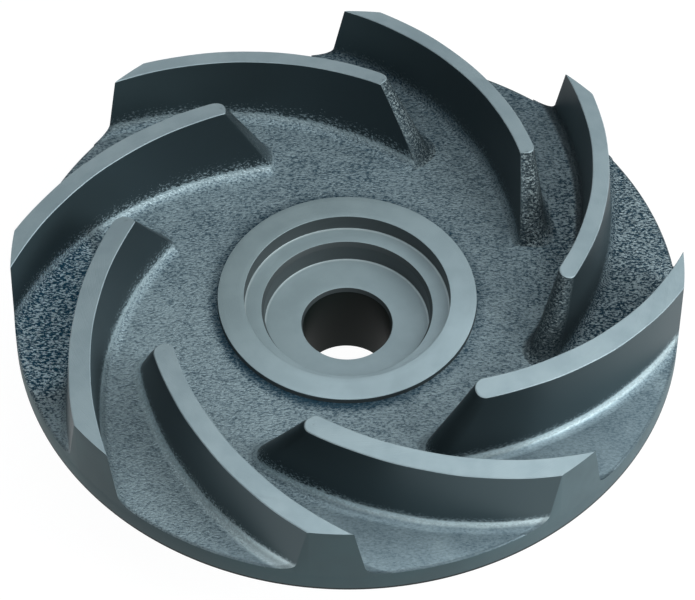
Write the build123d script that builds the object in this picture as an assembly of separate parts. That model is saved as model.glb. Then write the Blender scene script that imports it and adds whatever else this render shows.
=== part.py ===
from build123d import *
import os
from math import acos, cos, degrees, radians, sin, sqrt, tan

# Semi-open centrifugal pump impeller, one iron casting with machined faces.
# Frame: millimetres, +Z up along the shaft axis towards the pump's suction, origin at the centre
# of the hub's back end, which is the face that the impeller stands on.

# Shroud: the round back plate that carries the vanes
impeller_d = 150.0
shroud_t = 6.0
rim_chamfer = 0.4
rim_stock = 3.0

# Hub: a tapered boss behind the shroud, with a raised turned ring round its mouth
hub_length = 32.0
boss_root_d = 58.0
boss_end_d = 42.0
boss_fillet = 4.0
boss_end_chamfer = 1.0
ring_d = 58.5
ring_height = 1.5

# Stepped recess in the hub's mouth, for the shaft nut and its washer
nut_recess_d = 46.7
nut_recess_depth = 4.3
washer_recess_d = 37.6
washer_recess_depth = 10.0
washer_chamfer_w = 0.6
washer_chamfer_depth = 1.3
recess_corner_r = 0.4

# Shaft bore
bore_d = 20.0
bore_leadin_w = 0.4
bore_leadin_depth = 1.2
bore_back_chamfer = 0.8

# Vanes: drafted walls, each on a circular camber arc, faced off together to a shallow cone
vane_rim_azimuth = -46.7
vane_height_at_rim = 15.0
vane_draft = 5.0
camber_r = 77.0
outlet_angle = 26.2
face_cone_angle = 11.3
nose_root_sweep = 19.1
root_fillet = 2.4

# Each vane as it came from its own sand core, anticlockwise from the first: how far it strays from
# even spacing in degrees, its thickness at the top, and where its nose meets the coned face, in
# degrees of sweep along the camber arc like nose_root_sweep
vanes_as_cast = [
    (-1.5, 4.4, 28.7),
    (-0.2, 4.7, 27.4),
    (1.3, 3.8, 26.4),
    (-0.6, 3.8, 27.1),
    (-0.5, 4.0, 28.1),
    (0.3, 4.8, 27.6),
    (-0.3, 4.8, 29.0),
    (-0.5, 4.4, 28.3),
]

# How far apart two heights may read and still count as one level
level_tolerance = 0.01

# Heights and radii that follow from the sizes above
rim_r = impeller_d / 2
bore_r = bore_d / 2
washer_recess_r = washer_recess_d / 2
shroud_z = hub_length - ring_height
shroud_back_z = shroud_z - shroud_t
nut_seat_z = hub_length - nut_recess_depth
washer_seat_z = hub_length - washer_recess_depth

# Triangle of shaft axis, camber centre and the vane's end at the rim
camber_centre_r = sqrt(rim_r**2 + camber_r**2 - 2 * rim_r * camber_r * cos(radians(outlet_angle)))


def triangle_angle(side_a, side_b, opposite):
    """Angle in degrees between two sides of a triangle, from its three sides."""
    return degrees(acos((side_a**2 + side_b**2 - opposite**2) / (2 * side_a * side_b)))


def turned_form():
    """Shroud, boss, ring, stepped recess and bore as one revolved section, with stock on the rim."""
    blank_r = rim_r + rim_stock
    boss_r = boss_root_d / 2
    boss_end_r = boss_end_d / 2
    boss_corner = (boss_r, shroud_back_z)
    nut_corner = (nut_recess_d / 2, nut_seat_z)
    washer_corner = (washer_recess_r, washer_seat_z)
    with BuildSketch(Plane.XZ) as section:
        with BuildLine():
            Polyline(
                (bore_r, bore_back_chamfer),
                (bore_r + bore_back_chamfer, 0),
                (boss_end_r - boss_end_chamfer, 0),
                (boss_end_r, boss_end_chamfer),
                boss_corner,
                (blank_r, shroud_back_z),
                (blank_r, shroud_z),
                (ring_d / 2, shroud_z),
                (ring_d / 2, hub_length),
                (nut_recess_d / 2, hub_length),
                nut_corner,
                (washer_recess_r + washer_chamfer_w, nut_seat_z),
                (washer_recess_r, nut_seat_z - washer_chamfer_depth),
                washer_corner,
                (bore_r + bore_leadin_w, washer_seat_z),
                (bore_r, washer_seat_z - bore_leadin_depth),
                close=True,
            )
        make_face()
        for corner, radius in ((boss_corner, boss_fillet), (nut_corner, recess_corner_r),
                               (washer_corner, recess_corner_r)):
            fillet(section.vertices().sort_by_distance(corner)[0], radius)
    return revolve(section.sketch, Axis.Z)


def face_height(r):
    """Height above the shroud of the vanes' coned face, at radius r."""
    return vane_height_at_rim + (rim_r - r) * tan(radians(face_cone_angle))


def turned_space():
    """All that the lathe leaves standing: inside the chamfered rim and under the coned face."""
    inner_r = rim_r - rim_chamfer
    with BuildSketch(Plane.XZ) as section:
        with BuildLine():
            Polyline(
                (0, 0),
                (inner_r, 0),
                (inner_r, shroud_back_z),
                (rim_r, shroud_back_z + rim_chamfer),
                (rim_r, shroud_z + vane_height_at_rim),
                (0, shroud_z + face_height(0)),
                close=True,
            )
        make_face()
    return revolve(section.sketch, Axis.Z)


def camber_sweep(r):
    """Degrees along the camber arc from the line to the shaft axis, to where it reaches radius r."""
    return triangle_angle(camber_centre_r, camber_r, r)


def radius_at(sweep):
    """Radius from the shaft axis of the camber arc at this sweep."""
    reach = 2 * camber_centre_r * camber_r * cos(radians(sweep))
    return sqrt(camber_centre_r**2 + camber_r**2 - reach)


def camber_point(sweep, offset, z):
    """A point beside the camber arc, offset outwards from the arc's centre, which lies on +X."""
    angle = radians(180 + sweep)
    reach = camber_r + offset
    return (camber_centre_r + reach * cos(angle), reach * sin(angle), z)


def vane_section(height, top_t, nose_top_sweep):
    """A vane's level section at a height above the shroud: two flanks, round nose, open end.

    Each flank stands off the camber by half the top's thickness, plus the draft over the depth
    below the coned face. The nose's tip leans out along the camber, from nose_root_sweep at the
    shroud to nose_top_sweep in the coned face. The other end runs past the rim, to be trimmed.
    """
    z = shroud_z + height
    nose_height = face_height(radius_at(nose_top_sweep))
    lean = height / nose_height
    tip = nose_root_sweep * (1 - lean) + nose_top_sweep * lean
    end_r = rim_r + rim_stock
    end = camber_sweep(end_r)
    spread = tan(radians(vane_draft))
    nose_half = top_t / 2 + (nose_height - height) * spread
    end_half = top_t / 2 + (face_height(end_r) - height) * spread
    nose = tip + degrees(nose_half / camber_r)
    middle = (nose + end) / 2
    middle_half = (nose_half + end_half) / 2
    outer_end = camber_point(end, end_half, z)
    inner_end = camber_point(end, -end_half, z)
    outer_nose = camber_point(nose, nose_half, z)
    inner_nose = camber_point(nose, -nose_half, z)
    with BuildLine() as outline:
        ThreePointArc(outer_end, camber_point(middle, middle_half, z), outer_nose)
        ThreePointArc(outer_nose, camber_point(tip, 0, z), inner_nose)
        ThreePointArc(inner_nose, camber_point(middle, -middle_half, z), inner_end)
        Line(inner_end, outer_end)
    return make_face(outline.edges())


def vane(top_t, nose_top_sweep):
    """One vane with its camber centre on +X, from inside the shroud up past the coned face."""
    highest = face_height(radius_at(nose_root_sweep))
    below = vane_section(-shroud_t / 2, top_t, nose_top_sweep)
    above = vane_section(highest, top_t, nose_top_sweep)
    return loft([below, above], ruled=True)


def impeller():
    """The casting: vanes on the turned form, filleted at their roots, then turned to size."""
    first = vane_rim_azimuth + triangle_angle(camber_centre_r, rim_r, camber_r)
    pitch = 360 / len(vanes_as_cast)
    casting = turned_form()
    for index, (stray, top_t, nose_top_sweep) in enumerate(vanes_as_cast):
        casting += Rot(0, 0, first + index * pitch + stray) * vane(top_t, nose_top_sweep)
    level = casting.edges().filter_by_position(
        Axis.Z, shroud_z - level_tolerance, shroud_z + level_tolerance)
    roots = level.filter_by(GeomType.BSPLINE)
    return fillet(roots, root_fillet) & turned_space()


os.makedirs("parts", exist_ok=True)
export_step(impeller(), "parts/impeller.step")
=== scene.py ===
import math

import bmesh
import bpy
import numpy as np
from mathutils import Matrix, Vector


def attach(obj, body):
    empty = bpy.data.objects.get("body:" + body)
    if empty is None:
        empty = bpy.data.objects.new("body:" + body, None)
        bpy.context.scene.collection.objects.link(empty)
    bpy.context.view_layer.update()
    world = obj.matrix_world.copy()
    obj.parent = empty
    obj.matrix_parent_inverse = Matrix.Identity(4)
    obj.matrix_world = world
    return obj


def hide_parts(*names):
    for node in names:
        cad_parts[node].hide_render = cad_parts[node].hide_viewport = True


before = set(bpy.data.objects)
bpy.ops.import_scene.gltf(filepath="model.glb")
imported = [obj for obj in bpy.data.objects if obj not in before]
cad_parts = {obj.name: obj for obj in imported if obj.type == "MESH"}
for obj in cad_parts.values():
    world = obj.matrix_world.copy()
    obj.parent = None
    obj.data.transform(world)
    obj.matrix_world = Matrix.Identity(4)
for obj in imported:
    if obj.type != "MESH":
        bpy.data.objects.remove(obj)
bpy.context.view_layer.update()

# ---------------------------------------------------------------------------
# Turned form: the iron casting's round shroud plate, the tapered hub boss behind it, and the
# ring round its mouth. Ring, recess, bore and rim are turned bright; the shroud's front and
# back and the boss are left as they came from the sand.
# ---------------------------------------------------------------------------
MM = 0.001
CAST, TURNED, RING, WALL, RIM, BORE = range(6)
BORE_R, BORE_TOP_Z = 10.0, 20.8
WASHER_R, WASHER_FLOOR_Z = 18.8, 22.0
NUT_R, NUT_FLOOR_Z = 23.35, 27.7
RING_R, RING_Z = 29.25, 32.0
RIM_R, SHROUD_Z = 75.0, 30.5
RIM_BACK_R, RIM_BACK_Z = 74.6, 24.9
SHROUD_BACK_Z = 24.5
BOSS_END_R = 21.0
TURNED_SEGMENTS = 384
EASE_STEPS = 4

# Corners of the section as radius, height, how far back the edge is eased, and steps on the run
# to the next corner, from the bore's back end round to the hub's end face
TURNED_CORNERS = np.array([
    (BORE_R, 0.8, 0.05, 1), (BORE_R, BORE_TOP_Z, 0.08, 1), (10.4, WASHER_FLOOR_Z, 0.08, 4),
    (WASHER_R, WASHER_FLOOR_Z, 0.40, 2), (WASHER_R, 26.4, 0.08, 1), (19.4, NUT_FLOOR_Z, 0.08, 2),
    (NUT_R, NUT_FLOOR_Z, 0.40, 2), (NUT_R, RING_Z, 0.14, 4),
    (RING_R, RING_Z, 0.16, 1), (RING_R, SHROUD_Z, 0.30, 6),
    (RIM_R, SHROUD_Z, 0.70, 2), (RIM_R, RIM_BACK_Z, 0.10, 1),
    (RIM_BACK_R, SHROUD_BACK_Z, 0.10, 3), (28.26, SHROUD_BACK_Z, 4.00, 2),
    (BOSS_END_R, 1.0, 0.10, 1), (20.0, 0.0, 0.10, 3), (10.8, 0.0, 0.06, 1),
])


def eased_outline(corners, steps):
    """Closed outline of a turned section: at each corner P the curve (1-s)^2 A + 2s(1-s) P + s^2 B,
    where A and B lie the easing back from P along its two sides, then level steps to the next A."""
    point, ease = corners[:, :2], corners[:, 2:3]
    back = np.roll(point, 1, axis=0) - point
    ahead = np.roll(point, -1, axis=0) - point
    start = point + back / np.linalg.norm(back, axis=1, keepdims=True) * ease
    end = point + ahead / np.linalg.norm(ahead, axis=1, keepdims=True) * ease
    s = np.linspace(0, 1, steps)[None, :, None]
    curve = (1 - s) ** 2 * start[:, None] + 2 * s * (1 - s) * point[:, None] + s**2 * end[:, None]
    following = np.roll(start, -1, axis=0)
    runs = [np.linspace(a, b, int(n) + 1)[1:-1] for a, b, n in zip(end, following, corners[:, 3])]
    return np.concatenate([np.concatenate([c, r]) for c, r in zip(curve, runs)])


def grid_faces(rows, columns, close_rows, close_columns):
    """Quads between neighbouring rows and columns of a grid numbered row by row."""
    i = np.arange(rows if close_rows else rows - 1)
    j = np.arange(columns if close_columns else columns - 1)
    i, j = (a.ravel() for a in np.meshgrid(i, j, indexing="ij"))
    i_next, j_next = (i + 1) % rows, (j + 1) % columns
    return np.stack([i * columns + j, i * columns + j_next,
                     i_next * columns + j_next, i_next * columns + j], axis=1)


outline = eased_outline(TURNED_CORNERS, EASE_STEPS)
turn = np.linspace(0, 2 * np.pi, TURNED_SEGMENTS, endpoint=False)
turned_points = np.stack([
    outline[:, None, 0] * np.cos(turn), outline[:, None, 0] * np.sin(turn),
    outline[:, None, 1] * np.ones_like(turn)], axis=-1).reshape(-1, 3)
turned_faces = grid_faces(len(outline), TURNED_SEGMENTS, True, True)

# Each run of the section takes its finish from where its middle lies. An eased edge goes with the
# face that its middle is within a band, near or a hair of. The broken corner behind the rim takes
# the bore's near-black finish as a painted shadow line.
BAND, NEAR, HAIR = 0.2, 0.1, 0.02
run_r, run_z = ((outline + np.roll(outline, -1, axis=0)) / 2).T
run_out, run_up = np.abs(np.roll(outline, -1, axis=0) - outline).T
inside_rim = run_r < RIM_BACK_R - NEAR
on_front = (np.abs(run_z - SHROUD_Z) < BAND) & (run_r > RING_R)
on_back = (run_r > BOSS_END_R) & inside_rim & (run_z < SHROUD_BACK_Z + NEAR)
on_rim = ~inside_rim & (run_z > RIM_BACK_Z + HAIR)
bore_or_back_chamfer = (run_r < BORE_R + HAIR) | (~inside_rim & ~on_rim)
on_wall = ((run_up > run_out) & (run_r < RING_R + NEAR)
           & (run_z > BORE_TOP_Z + HAIR) & (run_z < RING_Z - BAND))
run_finish = np.select(
    [on_front | on_back, on_rim, bore_or_back_chamfer, on_wall], [CAST, RIM, BORE, WALL], RING)
turned_finish = np.repeat(run_finish, TURNED_SEGMENTS)

# ---------------------------------------------------------------------------
# Vanes: eight drafted walls cast in one with the shroud, each on a circular camber arc, with a
# round leaning nose at the eye, a fillet at the root, and tops and rim ends turned with the rim.
# Their sand cores were set by hand, so spacing, thickness and length differ a little.
# ---------------------------------------------------------------------------
CAMBER_R = 77.0
OUTLET_ANGLE = math.radians(26.2)
VANE_HEIGHT_AT_RIM = 15.0
FACE_SLOPE = math.tan(math.radians(11.3))
DRAFT_SLOPE = math.tan(math.radians(5.0))
ROOT_FILLET = 2.4
NOSE_ROOT_SWEEP = math.radians(19.1)
RIM_AZIMUTH = math.radians(-46.7)
VANE_PITCH = 45
EDGE_EASE = 0.16
# The highest a nose rises above the shroud, which keeps it within the solid's own height
TALLEST_NOSE = 20.525

# Stray from even spacing in degrees, top thickness, sweep of the nose in the coned face in
# degrees, how rough the nose came from the sand, how far it is slanted to its inner flank, and how
# much painted light (above 0) or painted shade (below 0) the fillets at the foot of the outer and
# inner flank take
VANES = [
    (-1.5, 4.4, 28.7, 0.0, 0.0, 0.8, 0.3), (-0.2, 4.7, 27.4, 0.0, 0.0, 0.8, 0.2),
    (1.3, 3.8, 26.4, 0.6, 0.0, -0.3, -1.0), (-0.6, 3.8, 27.1, 1.0, 1.0, -0.5, -0.3),
    (-0.5, 4.0, 28.1, 0.8, 0.8, -0.3, 0.6), (0.3, 4.8, 27.6, 0.2, 0.7, 0.0, 0.8),
    (-0.3, 4.8, 29.0, 0.2, 0.7, 0.0, 0.7), (-0.5, 4.4, 28.3, 0.0, 0.2, 1.0, 0.7),
]

# A slanted nose: how far forward its inner flank runs, how far back the whole nose is set, and
# how much of the round it keeps on the outer side, each for a slant of 1
SLANT_FORWARD, SLANT_BACK, SLANT_ROUND = 0.8, 0.45, 0.65
# Unevenness from the sand: of the fillet as a share of it, and of the flank in long and short waves
FILLET_STRAY, LONG_WAVE, SHORT_WAVE = 0.10, 0.05, 0.03
# The skin's foot: how deep it ends in the shroud, how deep and how far out the row above that lies,
# and how far the fillet's toe is let in so that no gap shows
FOOT_DEPTH, SKIRT_DEPTH, SKIRT_OUT, TOE_DEPTH = 1.0, 0.02, 0.2, 0.004

SIDE_STATIONS = 88
STATION_CROWDING = 1.25
NOSE_STATIONS = 17
FILLET_ROWS = 7
FLANK_ROWS = 9
TOP_ROWS = 4

centre_r = math.sqrt(RIM_R**2 + CAMBER_R**2 - 2 * RIM_R * CAMBER_R * math.cos(OUTLET_ANGLE))
rim_turn = math.acos((centre_r**2 + RIM_R**2 - CAMBER_R**2) / (2 * centre_r * RIM_R))


def face_height(r):
    """Height above the shroud of the vanes' coned face: it rises evenly from the rim inwards."""
    return VANE_HEIGHT_AT_RIM + (RIM_R - r) * FACE_SLOPE


def beside_camber(sweep, offset, along_normal, along_back):
    """Level point offset from the camber arc. The arc's centre lies on +X, and e = (cos a, sin a)
    with a = half a turn + sweep points from it to the arc; the offset goes along
    e * along_normal minus the arc's direction * along_back."""
    a = np.pi + sweep
    c, s = np.cos(a), np.sin(a)
    x = centre_r + CAMBER_R * c + offset * (along_normal * c + along_back * s)
    y = CAMBER_R * s + offset * (along_normal * s - along_back * c)
    return x, y


def vane_points(top_t, nose_top_sweep, slant, outer_foot_light, inner_foot_light, seed):
    """One vane's skin on a grid of stations (rim, outer flank, nose, inner flank, rim) by rows
    (under the shroud's face, root fillet, flank, eased edge, top to the camber line), and with it
    how far up the wall each point is, how near the nose, and how much painted light or painted
    shade its foot takes.

    A flank point lies w(h) = top_t/2 + (face height - h) * draft slope from the camber arc. Round
    the nose the offset turns from the arc's normal to straight ahead and back. A fillet point is
    f (cos psi, sin psi) from a centre that is f above the shroud. Each row's sweep is spread
    evenly from the nose to where that offset arc meets the rim's circle."""
    turn_nose = np.linspace(0, np.pi, NOSE_STATIONS + 2)[1:-1]
    spread = 1 - (1 - np.linspace(0, 1, SIDE_STATIONS)) ** STATION_CROWDING
    to_rim = np.concatenate([spread[::-1], 0 * turn_nose, spread])[:, None]
    ones = np.ones(SIDE_STATIONS)
    normal = np.concatenate([ones, np.cos(turn_nose), -ones])[:, None]
    ahead = np.concatenate([0 * ones, np.sin(turn_nose), 0 * ones])[:, None]
    side = np.sign(normal + (normal == 0))
    nose_reach = ahead * (1 - slant + SLANT_ROUND * slant * (1 + normal))
    forward = SLANT_FORWARD * slant * (1 - normal) - SLANT_BACK * slant

    nose_r = math.sqrt(
        centre_r**2 + CAMBER_R**2 - 2 * centre_r * CAMBER_R * math.cos(nose_top_sweep))
    nose_height = face_height(nose_r)
    lean = CAMBER_R * (nose_top_sweep - NOSE_ROOT_SWEEP) / nose_height
    steep = np.arctan(DRAFT_SLOPE + ahead * (lean - DRAFT_SLOPE))
    fillet = ROOT_FILLET * (1 + FILLET_STRAY * np.sin(5 * to_rim + 2.1 * seed + side))
    tangent_h = fillet * (1 - np.sin(steep))

    def rim_sweep(distance):
        """Sweep at which the arc of radius camber + distance meets the rim's circle."""
        arc_r = CAMBER_R + side * distance
        return np.arccos((centre_r**2 + arc_r**2 - RIM_R**2) / (2 * centre_r * arc_r))

    # Height of the top edge at each station, found from where the edge lies in plan
    edge_start = nose_top_sweep + top_t / 2 / CAMBER_R - forward * top_t / 2 / CAMBER_R
    edge_sweep = edge_start + (rim_sweep(top_t / 2) - edge_start) * to_rim
    x, y = beside_camber(edge_sweep, top_t / 2, normal, nose_reach)
    edge_h = face_height(np.hypot(x, y))

    rise = np.linspace(0, 1, FLANK_ROWS)[None, :]
    bend = np.linspace(0, 1, FILLET_ROWS)[None, :]
    inward = np.linspace(0, 1, TOP_ROWS + 1)[None, :]
    psi = 1.5 * np.pi + (steep - 0.5 * np.pi) * bend
    flank_h = tangent_h + (edge_h - EDGE_EASE - tangent_h) * rise
    height = np.concatenate([
        np.full_like(edge_h, -FOOT_DEPTH), np.full_like(edge_h, -SKIRT_DEPTH),
        fillet * (1 + np.sin(psi)) - TOE_DEPTH, flank_h[:, 1:], edge_h + 0 * inward], axis=1)
    base_h = np.maximum(height, tangent_h)
    skirt = fillet * np.cos(steep) + SKIRT_OUT
    outward = np.concatenate([
        skirt, skirt, fillet * (np.cos(psi) + np.cos(steep)),
        0 * flank_h[:, 1:], -EDGE_EASE + 0 * edge_h + 0 * inward], axis=1)
    unevenness = (LONG_WAVE * np.sin(7.3 * to_rim + 1.7 * seed + 2 * side)
                  + SHORT_WAVE * np.sin(23 * to_rim + seed))
    distance = top_t / 2 + (edge_h - base_h) * DRAFT_SLOPE + outward + unevenness
    distance[:, -(TOP_ROWS + 1):] *= 1 - inward
    lean_sweep = NOSE_ROOT_SWEEP + (nose_top_sweep - NOSE_ROOT_SWEEP) * base_h / nose_height
    half_nose = top_t / 2 + (nose_height - base_h) * DRAFT_SLOPE
    row_start = lean_sweep + half_nose * (1 - forward) / CAMBER_R
    sweep = row_start + (rim_sweep(distance) - row_start) * to_rim
    x, y = beside_camber(sweep, distance, normal, nose_reach)
    top = np.minimum(face_height(np.hypot(x, y)), TALLEST_NOSE)
    height[:, -(TOP_ROWS + 1):] = top[:, -(TOP_ROWS + 1):]
    height[:, -(TOP_ROWS + 2)] = top[:, -(TOP_ROWS + 2)] - EDGE_EASE

    # Up the wall: 0 to 1 over the fillet, 1 to 2 over the flank
    up_wall = np.concatenate([[0, 0], np.linspace(0, 1, FILLET_ROWS),
                              np.linspace(1, 2, FLANK_ROWS)[1:], np.full(TOP_ROWS + 1, 2.0)])
    foot_light_or_shade = (outer_foot_light * (1 + normal) + inner_foot_light * (1 - normal)) / 2
    traits = [np.tile(up_wall, len(to_rim)), np.repeat(ahead, len(up_wall)),
              np.repeat(foot_light_or_shade, len(up_wall))]
    return np.stack([x, y, SHROUD_Z + height], axis=-1), np.stack(traits, axis=-1)


def turned_about_shaft(points, angle):
    """Points turned about the shaft axis."""
    c, s = math.cos(angle), math.sin(angle)
    x, y, z = points[..., 0], points[..., 1], points[..., 2]
    return np.stack([c * x - s * y, s * x + c * y, z], axis=-1)


vane_parts = []
for number, (stray, top_t, nose_sweep, rough, slant, outer_foot_light, inner_foot_light) in enumerate(VANES):
    skin, traits = vane_points(
        top_t, math.radians(nose_sweep), slant, outer_foot_light, inner_foot_light, number)
    traits[:, 1] *= rough
    azimuth = RIM_AZIMUTH + rim_turn + math.radians(VANE_PITCH * number + stray)
    skin = turned_about_shaft(skin, azimuth)
    stations, rows = skin.shape[:2]
    faces = grid_faces(stations, rows, False, False)
    row_of_face = np.tile(np.arange(rows - 1), stations - 1)
    skin_finish = np.where(row_of_face < rows - TOP_ROWS - 2, CAST, TURNED)
    # Rim end: from the section at the rim straight down to the skin's underside
    below = np.concatenate([skin[0], skin[-1][::-1]])
    below[:, 2] = skin[0, 0, 2]
    end_numbers = np.concatenate([np.arange(rows), (stations - 1) * rows + np.arange(rows)[::-1]])
    below_numbers = stations * rows + np.arange(len(below))
    cap = np.stack(
        [end_numbers[:-1], end_numbers[1:], below_numbers[1:], below_numbers[:-1]], axis=1)
    foot_loop = np.arange(stations) * rows
    underside = [int(n) for n in np.concatenate([foot_loop, below_numbers[::-1][1:-1]])]
    vane_parts.append((np.concatenate([skin.reshape(-1, 3), below]), np.concatenate([faces, cap]),
                       underside, np.concatenate([skin_finish, np.full(len(cap), RIM)]),
                       np.concatenate([traits, np.zeros((len(below), 3))])))

# ---------------------------------------------------------------------------
# The casting as one mesh: the turned form with the eight vanes grown into it, in grey iron. Each
# face has one of six finishes. Vertex attributes tell how far up a vane's fillet and flank a
# point is, how rough the sand left a nose, and how much painted light or painted shade a fillet
# takes.
# ---------------------------------------------------------------------------
WELD_DISTANCE = 2e-7
SHARP_EDGE = math.radians(28)
offset = 0
all_points, all_faces, all_finish, all_traits = [], [], [], []
turned_part = (turned_points, turned_faces, None, turned_finish, np.zeros((len(turned_points), 3)))
for points, quads, underside, finish, traits in [turned_part] + vane_parts:
    all_points.append(points)
    all_faces += (quads + offset).tolist()
    all_finish.append(finish)
    if underside:
        all_faces.append([n + offset for n in underside])
        all_finish.append([CAST])
    all_traits.append(traits)
    offset += len(points)

casting_mesh = bpy.data.meshes.new("impeller_casting")
casting_mesh.from_pydata((np.concatenate(all_points) * MM).tolist(), [], all_faces)
casting_mesh.polygons.foreach_set("material_index", np.concatenate(all_finish))
all_traits = np.concatenate(all_traits).astype(np.float32)
for column, trait in enumerate(("wall", "raw_nose", "foot_light_or_shade")):
    held = casting_mesh.attributes.new(trait, "FLOAT", "POINT")
    held.data.foreach_set("value", all_traits[:, column].copy())
welded = bmesh.new()
welded.from_mesh(casting_mesh)
bmesh.ops.remove_doubles(welded, verts=welded.verts, dist=WELD_DISTANCE)
bmesh.ops.recalc_face_normals(welded, faces=welded.faces)
welded.to_mesh(casting_mesh)
welded.free()
casting_mesh.shade_smooth()
casting_mesh.set_sharp_from_angle(angle=SHARP_EDGE)
casting = bpy.data.objects.new("impeller_casting", casting_mesh)
bpy.context.scene.collection.objects.link(casting)
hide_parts("impeller")
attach(casting, "root")


class Signal:
    """A shader socket that carries a value. Arithmetic with a number or with another Signal adds
    Math nodes."""

    def __init__(self, finish, socket):
        self.finish = finish
        self.socket = socket

    def math(self, operation, left, right):
        return self.finish.node("ShaderNodeMath", {"operation": operation}, {0: left, 1: right})

    def __add__(self, other):
        return self.math("ADD", self, other)

    def __sub__(self, other):
        return self.math("SUBTRACT", self, other)

    def __rsub__(self, other):
        return self.math("SUBTRACT", other, self)

    def __mul__(self, other):
        return self.math("MULTIPLY", self, other)

    __radd__ = __add__
    __rmul__ = __mul__


class Finish:
    """The look of a material or of the world, made from nodes."""

    def __init__(self, owner):
        self.owner = owner
        owner.use_nodes = True
        self.tree = owner.node_tree
        self.tree.nodes.clear()

    def node(self, kind, settings=None, inputs=None, output=0):
        """Adds a node: its settings first, then its sockets' values or links. Gives one output."""
        made = self.tree.nodes.new(kind)
        for name, value in (settings or {}).items():
            setattr(made, name, value)
        for name, value in (inputs or {}).items():
            if isinstance(value, Signal):
                self.tree.links.new(value.socket, made.inputs[name])
            else:
                made.inputs[name].default_value = value
        return Signal(self, made.outputs[output]) if made.outputs else None

    def vector(self, operation, *values, output=0):
        """Vector Math: a vector is output 0, and a length, distance or dot product output 1."""
        return self.node("ShaderNodeVectorMath", {"operation": operation},
                         dict(enumerate(values)), output)

    def ramp(self, value, low, high):
        """0 at low to 1 at high, smooth and clamped."""
        return self.node("ShaderNodeMapRange", {"interpolation_type": "SMOOTHSTEP"},
                         {"Value": value, "From Min": low, "From Max": high})

    def blend(self, factor, first, second, how="MIX"):
        """Colour between two colours, or the first one multiplied by the second."""
        return self.node("ShaderNodeMix", {"data_type": "RGBA", "blend_type": how},
                         {0: factor, 6: first, 7: second}, 2)

    def noise(self, place, per_mm, detail=3.0, roughness=0.55):
        """Cloudy value around 0.5, with per_mm as its scale."""
        return self.node("ShaderNodeTexNoise", {}, {
            "Vector": place, "Scale": per_mm, "Detail": detail, "Roughness": roughness})

    def trait(self, name):
        """One of the mesh's own vertex attributes."""
        return self.node("ShaderNodeAttribute", {"attribute_name": name}, output="Fac")

    def place_in_mm(self):
        """Object coordinates in millimetres."""
        here = self.node("ShaderNodeTexCoord", output="Object")
        return self.node("ShaderNodeVectorMath", {"operation": "SCALE"}, {0: here, "Scale": 1 / MM})

    def part_of(self, place, axis):
        """One coordinate, X, Y or Z, of a place."""
        return self.node("ShaderNodeSeparateXYZ", {}, {0: place}, axis)

    def from_shaft(self, place):
        """Distance from the shaft axis: the length of the place with its height taken away."""
        return self.vector("LENGTH", self.vector("MULTIPLY", place, (1, 1, 0)), output=1)

    def surface(self, shader, output="ShaderNodeOutputMaterial"):
        self.node(output, {}, {"Surface": shader})


# As cast: grey iron straight from a fine sand mould, shot-cleaned and thinly oiled. The grain is
# coarse and flaky in the two side passages, plain at the front, and bare of it on the vanes' walls.
# The coarse skin of the side passages is real grain, and is also painted much lighter as painted
# light, most in the left passage
SKIN, COARSE_SKIN_PAINTED_LIGHTER = (0.330, 0.420, 0.455, 1), (0.64, 0.86, 0.97, 1)
PIT, COARSE_PIT = (0.016, 0.050, 0.078, 1), (0.018, 0.095, 0.160, 1)
# Painted highlight colour for glints on the grain's tips
PAINTED_GLINT = (0.80, 0.90, 0.93, 1)
# Painted light for the feet of fillets that face the lamps, and painted shade for the feet of
# shaded ones; the dark one also colours the pits of rough noses
LIT_FILLET, PIT_AND_PAINTED_SHADE = (0.64, 0.78, 0.82, 1), (0.022, 0.034, 0.040, 1)
# Painted shade for the bare flanks, darkest near the hub
INNER_WALL, OUTER_WALL = (0.034, 0.051, 0.058, 1), (0.058, 0.088, 0.099, 1)
RAW_SKIN = (0.36, 0.43, 0.44, 1)
RIM_EDGE_SHADE = (0.040, 0.058, 0.066, 1)
RELIEF = 0.00045
# Middle of each coarse passage with its Y halved, where it is full and where it ends, how coarse
COARSE_PLACES = [((-68, -1, 31), 9, 20, 1.0), ((64, 6, 31), 12, 27, 0.6)]

cast = Finish(bpy.data.materials.new("cast_iron_skin"))
place = cast.place_in_mm()
wall = cast.trait("wall")
raw_nose = cast.trait("raw_nose")
foot_light_or_shade = cast.trait("foot_light_or_shade")
from_shaft = cast.from_shaft(place)
sideways = cast.part_of(place, "X")
towards = cast.vector("DOT_PRODUCT", place, (0.5, -0.86, 0), output=1)
lower = cast.vector("DOT_PRODUCT", place, (-0.5, -0.86, 0), output=1)
front = cast.ramp(towards, 36, 54)
plain_front = 1 - front * 0.8

# The sand's marks: warped cells whose edges are cracks, strokes drawn out along X, and clouds
drawn = cast.vector("MULTIPLY", place, (0.6, 1, 1))
warp = cast.node("ShaderNodeTexNoise", {}, {"Vector": drawn, "Scale": 0.9, "Detail": 2.0}, "Color")
crazed = cast.vector("MULTIPLY_ADD", warp, (0.9, 0.9, 0.9), drawn)
edge = cast.node("ShaderNodeTexVoronoi", {"feature": "DISTANCE_TO_EDGE"}, {
    "Vector": crazed, "Scale": 1.6, "Randomness": 1.0})
crack = cast.ramp(edge, 0.24, 0.03)
stroke = cast.noise(cast.vector("MULTIPLY", place, (0.5, 1, 1)), 2.9, 3.0, 0.6)
grain = cast.noise(drawn, 2.2, 3.0, 0.65)
swell = cast.noise(place, 0.16)
patch = cast.noise(place, 0.035, 2.0)

coarse = raw_nose * 0.6
squat = cast.vector("MULTIPLY", place, (1, 0.5, 1))
for middle, full_within, gone_beyond, how_coarse in COARSE_PLACES:
    away = cast.vector("DISTANCE", squat, middle, output=1)
    coarse = coarse + cast.ramp(away, gone_beyond, full_within) * how_coarse
streak = cast.ramp(stroke - coarse * 0.05, 0.52, 0.40)
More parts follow.
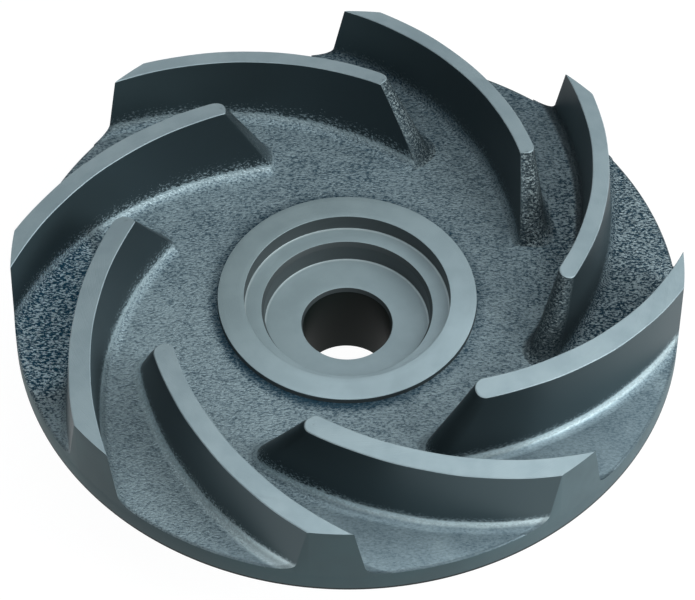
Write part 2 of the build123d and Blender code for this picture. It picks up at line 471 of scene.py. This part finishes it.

# Bare walls start at a ragged line in the fillet. Below it, the foot takes painted light or painted
# shade.
ragged = (grain - 0.5) * 1.1 * (1 - front * 0.7)
bare = cast.ramp(wall + ragged, 0.86, 1.10) * (1 - raw_nose)
lit_low = cast.ramp(foot_light_or_shade, 0.75, 1.0)
foot = (cast.ramp(wall, 0.45 - lit_low * 0.4, 0.80 - lit_low * 0.35)
        * (1 - bare) * (1 - raw_nose))
bite = (0.22 + coarse * 0.78) * plain_front
relief = (stroke * 1.5 - crack * 0.5) * bite * (1 - bare * 0.94)
bumped = cast.node("ShaderNodeBump", {}, {"Strength": 1.0, "Distance": RELIEF, "Height": relief})

# Tone from 0, pitted, to 1, clean: the even skin, then what lightens or darkens it
# Painted shadow: a ragged dark band on the skin round the foot of the ring, deepest on its lower
# left side
ring_foot_shadow = cast.ramp(from_shaft - grain * 2, 31.5, 28.6) * (0.2 + cast.ramp(lower, 5, 26) * 0.35)
tone = (0.65 + coarse * 0.30
        - streak * (0.19 + coarse * 0.80) * plain_front
        - crack * coarse * 0.30
        + (stroke - 0.5) * (1.0 - front * 0.6)
        + (grain - 0.5) * 0.3
        + (swell - 0.5) * 0.35
        + (patch - 0.5) * 0.3
        # painted light or painted shade at the fillets' feet
        + foot * foot_light_or_shade * 0.3
        # painted light: lighter towards the left
        + cast.ramp(sideways, 5, -45) * 0.10
        - ring_foot_shadow
        # painted shade: darker towards the back left
        - cast.ramp(towards, 0, -40) * 0.12
        - front * 0.12)
coarse_colour = cast.ramp(coarse, 0.62, 1.0)
clean = cast.blend(coarse_colour, SKIN, COARSE_SKIN_PAINTED_LIGHTER)
pitted = cast.blend(coarse_colour, PIT, COARSE_PIT)
colour = cast.blend(cast.ramp(tone, 0.0, 1.0), pitted, clean)
# Painted highlights: bright glints on the tops of the strokes in the coarse passages
glint = cast.ramp(stroke, 0.53, 0.61) * cast.ramp(coarse, 0.45, 1.0)
colour = cast.blend(glint * 0.7, colour, PAINTED_GLINT)
speck = cast.ramp(grain, 0.44, 0.60)
# Painted light on the lit fillets' feet, painted shade on the shaded fillets' feet
painted_foot_light = foot * (0.2 + front * 0.6 + speck * 0.5) * cast.ramp(foot_light_or_shade, 0, 1)
colour = cast.blend(painted_foot_light, colour, LIT_FILLET)
painted_foot_shade = cast.ramp(wall, 0.02, 0.35) * cast.ramp(foot_light_or_shade, 0, -1) * (1 - raw_nose)
colour = cast.blend(painted_foot_shade * 0.85, colour, PIT_AND_PAINTED_SHADE)
# Painted shade: the bare flanks are painted near black, darker towards the hub
walls = cast.blend(cast.ramp(from_shaft, 48, 75), INNER_WALL, OUTER_WALL)
colour = cast.blend(bare, colour, walls)
raw_skin = cast.blend(cast.ramp(grain, 0.49, 0.60), PIT_AND_PAINTED_SHADE, RAW_SKIN)
colour = cast.blend(raw_nose * 0.8, colour, raw_skin)
# Painted shade: a dark band on the skin just inside the rim's top edge
colour = cast.blend(cast.ramp(from_shaft, 74.2, 74.6) * (1 - bare) * 0.4, colour, RIM_EDGE_SHADE)
cast.surface(cast.node("ShaderNodeBsdfPrincipled", {}, {
    "Base Color": colour, "Metallic": 0.45, "Roughness": 0.42, "Specular IOR Level": 0.2,
    "Normal": bumped}))

# Turned: bare iron off the lathe, with fine rings round the shaft axis; on the vanes' tops it is
# painted lighter towards the rim as painted light. The ring and its recess are a finer cut, painted
# lighter towards the front right and darker towards the back left as a painted reflection, with a
# bright line just inside each step of the recess.
TOOL_MARKS = 0.00006
LIP_INSET = 0.25
LIP = (0.62, 0.70, 0.72, 1)


def turned_iron(name, dark, light, first, last, slope, outwards, start, end):
    """Bare turned iron: its colour drifts between dark and light in blotches, and is multiplied
    by first at start to last at end of the distance in mm along slope plus radius * outwards,
    which paints light and shade across it.
    The recess's bright lines show as far as outwards is below 1."""
    made = Finish(bpy.data.materials.new(name))
    place = made.place_in_mm()
    radius = made.from_shaft(place)
    ring_place = made.node("ShaderNodeCombineXYZ", {}, {0: radius, 1: made.part_of(place, "Z")})
    rings = made.noise(ring_place, 8.0, 2.0, 0.6)
    bumped = made.node("ShaderNodeBump", {}, {
        "Strength": 1.0, "Distance": TOOL_MARKS, "Height": rings})
    colour = made.blend(made.ramp(made.noise(place, 0.12), 0.35, 0.65), dark, light)

    def lip_inside(step_r):
        """1 on a narrow line inside a step of the recess, from the square of the distance to it."""
        beside = radius - (step_r - LIP_INSET)
        return made.ramp(beside * beside, 0.07, 0.01)

    lip = lip_inside(WASHER_R) + lip_inside(NUT_R)
    colour = made.blend(lip * (1 - outwards) * 0.5, colour, LIP)
    along = made.vector("DOT_PRODUCT", place, slope, output=1)
    # Painted light and shade across the turned surface
    painted_light_and_shade = made.blend(made.ramp(along + radius * outwards, start, end), first, last)
    made.surface(made.node("ShaderNodeBsdfPrincipled", {}, {
        "Base Color": made.blend(1.0, colour, painted_light_and_shade, "MULTIPLY"), "Metallic": 0.35,
        "Roughness": 0.50, "Normal": bumped}))
    return made


turned = turned_iron("turned_iron", (0.280, 0.360, 0.393, 1), (0.322, 0.406, 0.438, 1),
                     (0.88, 0.88, 0.88, 1), (1.08, 1.08, 1.08, 1), (0, 0, 0), 1.0, 25, 78)
ring = turned_iron("fine_turned_iron", (0.330, 0.418, 0.450, 1), (0.364, 0.457, 0.490, 1),
                   (0.71, 0.72, 0.71, 1), (1.21, 1.22, 1.23, 1), (0.75, -0.66, 0), 0.0, -26, 26)

# Rim and the vanes' ends: turned too, but dull from handling, painted lighter on the left and a
# little lighter on the right than in the middle as painted light, with a painted shade line along
# the back edge
RIM_LEFT, RIM_MIDDLE, RIM_RIGHT = (
    (0.118, 0.180, 0.194, 1), (0.058, 0.096, 0.106, 1), (0.104, 0.155, 0.172, 1))
HANDLED = (0.050, 0.070, 0.078, 1)
PAINTED_SHADE_LINE = (0.006, 0.009, 0.010, 1)
rim = Finish(bpy.data.materials.new("dull_turned_iron"))
place = rim.place_in_mm()
sideways = rim.part_of(place, "X")
colour = rim.blend(rim.ramp(sideways, -75, -45), RIM_LEFT, RIM_MIDDLE)
colour = rim.blend(rim.ramp(sideways, 10, 60), colour, RIM_RIGHT)
colour = rim.blend(rim.ramp(rim.noise(place, 0.08), 0.35, 0.65) * 0.3, colour, HANDLED)
# Painted shade: a near-black line along the rim's back edge
colour = rim.blend(rim.ramp(rim.part_of(place, "Z"), 25.7, 25.2), colour, PAINTED_SHADE_LINE)
rim.surface(rim.node("ShaderNodeBsdfPrincipled", {}, {
    "Base Color": colour, "Metallic": 0.1, "Roughness": 0.6, "Specular IOR Level": 0.2}))

# Recess walls and the ring's outer wall: turned, darkened with old oil, and painted dark as the
# shade they stand in
recess = Finish(bpy.data.materials.new("oiled_recess_wall_painted_shade"))
recess.surface(recess.node("ShaderNodeBsdfPrincipled", {}, {
    "Base Color": (0.055, 0.068, 0.072, 1), "Metallic": 0.2, "Roughness": 0.5}))

# Bore: bored to size, dark with oil, and painted near black as the shade deep inside it
bore = Finish(bpy.data.materials.new("oily_bore_painted_shade"))
bore.surface(bore.node("ShaderNodeBsdfPrincipled", {}, {
    "Base Color": (0.004, 0.009, 0.008, 1), "Metallic": 0.0, "Roughness": 0.5,
    "Specular IOR Level": 0.08}))

# In the order of CAST, TURNED, RING, WALL, RIM, BORE
for finish in (cast, turned, ring, recess, rim, bore):
    casting_mesh.materials.append(finish.owner)

# ---------------------------------------------------------------------------
# Floor and backdrop: one pale level sheet that the hub stands on, a hair below the hub's end face
# so that the two share no plane. It is white to the camera and in reflections, and still takes
# the casting's shadow.
# ---------------------------------------------------------------------------
FLOOR_HALF = 3.0
FLOOR_Z = -0.0001
floor_mesh = bpy.data.meshes.new("floor")
floor_mesh.from_pydata([(-FLOOR_HALF, -FLOOR_HALF, FLOOR_Z), (FLOOR_HALF, -FLOOR_HALF, FLOOR_Z),
                        (FLOOR_HALF, FLOOR_HALF, FLOOR_Z), (-FLOOR_HALF, FLOOR_HALF, FLOOR_Z)],
                       [], [(0, 1, 2, 3)])
floor = bpy.data.objects.new("floor", floor_mesh)
bpy.context.scene.collection.objects.link(floor)
paper = Finish(bpy.data.materials.new("white_paper"))
seen = paper.node("ShaderNodeLightPath", output="Is Camera Ray")
mirrored = paper.node("ShaderNodeLightPath", output="Is Glossy Ray")
lit = paper.node("ShaderNodeBsdfDiffuse", {}, {"Color": (0.80, 0.80, 0.80, 1)})
white = paper.node("ShaderNodeEmission", {}, {"Color": (1, 1, 1, 1), "Strength": 1.09})
shown_white = (seen + mirrored) * 0.88
paper.surface(paper.node("ShaderNodeMixShader", {}, {0: shown_white, 1: lit, 2: white}))
floor_mesh.materials.append(paper.owner)

# The studio round it: white where the camera looks past the floor, and otherwise almost dark
studio = Finish(bpy.data.worlds.new("studio"))
bpy.context.scene.world = studio.owner
seen = studio.node("ShaderNodeLightPath", output="Is Camera Ray")
dim = studio.node("ShaderNodeBackground", {}, {"Color": (0.86, 0.95, 1.0, 1), "Strength": 0.04})
clear = studio.node("ShaderNodeBackground", {}, {"Color": (1, 1, 1, 1), "Strength": 1.0})
studio.surface(studio.node("ShaderNodeMixShader", {}, {0: seen, 1: dim, 2: clear}),
               "ShaderNodeOutputWorld")

# ---------------------------------------------------------------------------
# Studio lamps: a wide softbox above, one to the right that lights the right-hand flanks, and
# weak fills from the front and from behind.
# ---------------------------------------------------------------------------
# Name, place and aim in metres, width and height in metres, watts, colour
LAMPS = [
    ("softbox_over", (0.12, -0.02, 0.45), (0.01, -0.05, 0.03), (0.42, 0.80), 1.75,
     (0.93, 0.98, 1.0)),
    ("softbox_right", (0.60, -0.30, 0.42), (0, 0, 0.03), (0.4, 0.3), 3.7, (0.95, 0.99, 1.0)),
    ("softbox_front", (-0.10, -0.55, 0.50), (0, 0, 0.03), (0.5, 0.3), 0.9, (0.95, 0.99, 1.0)),
    ("softbox_back", (-0.25, 0.65, 0.16), (0, 0, 0.03), (0.5, 0.3), 0.7, (0.95, 0.99, 1.0)),
]
for name, spot, aim, (width, depth), watts, tint in LAMPS:
    lamp = bpy.data.lights.new(name, "AREA")
    lamp.shape = "RECTANGLE"
    lamp.size, lamp.size_y = width, depth
    lamp.energy = watts
    lamp.color = tint
    holder = bpy.data.objects.new(name, lamp)
    bpy.context.scene.collection.objects.link(holder)
    holder.location = spot
    holder.rotation_euler = (Vector(aim) - Vector(spot)).to_track_quat("-Z", "Y").to_euler()

# ---------------------------------------------------------------------------
# Camera: on the -Y side and a little over 50 degrees up, looking at the middle of the vanes
# through a long lens, and rolled by half a degree.
# ---------------------------------------------------------------------------
ELEVATION = math.radians(51.407)
DISTANCE = 0.84238
ROLL = math.radians(0.505)
TARGET = Vector((0, 0, 0.032))
to_camera = Vector((0, -math.cos(ELEVATION), math.sin(ELEVATION)))
right = Vector((1, 0, 0))
up = to_camera.cross(right)
rolled_right = right * math.cos(ROLL) + up * math.sin(ROLL)
rolled_up = to_camera.cross(rolled_right)
lens = bpy.data.cameras.new("camera")
lens.sensor_width = 36.0
lens.lens = 193.41
lens.shift_x = 0.00044
lens.shift_y = -0.0060
lens.clip_start = 0.05
lens.clip_end = 20.0
camera = bpy.data.objects.new("camera", lens)
bpy.context.scene.collection.objects.link(camera)
camera.matrix_world = Matrix.Translation(TARGET + to_camera * DISTANCE) @ Matrix((
    rolled_right, rolled_up, to_camera)).transposed().to_4x4()
bpy.context.scene.camera = camera
bpy.context.scene.view_settings.view_transform = "Standard"
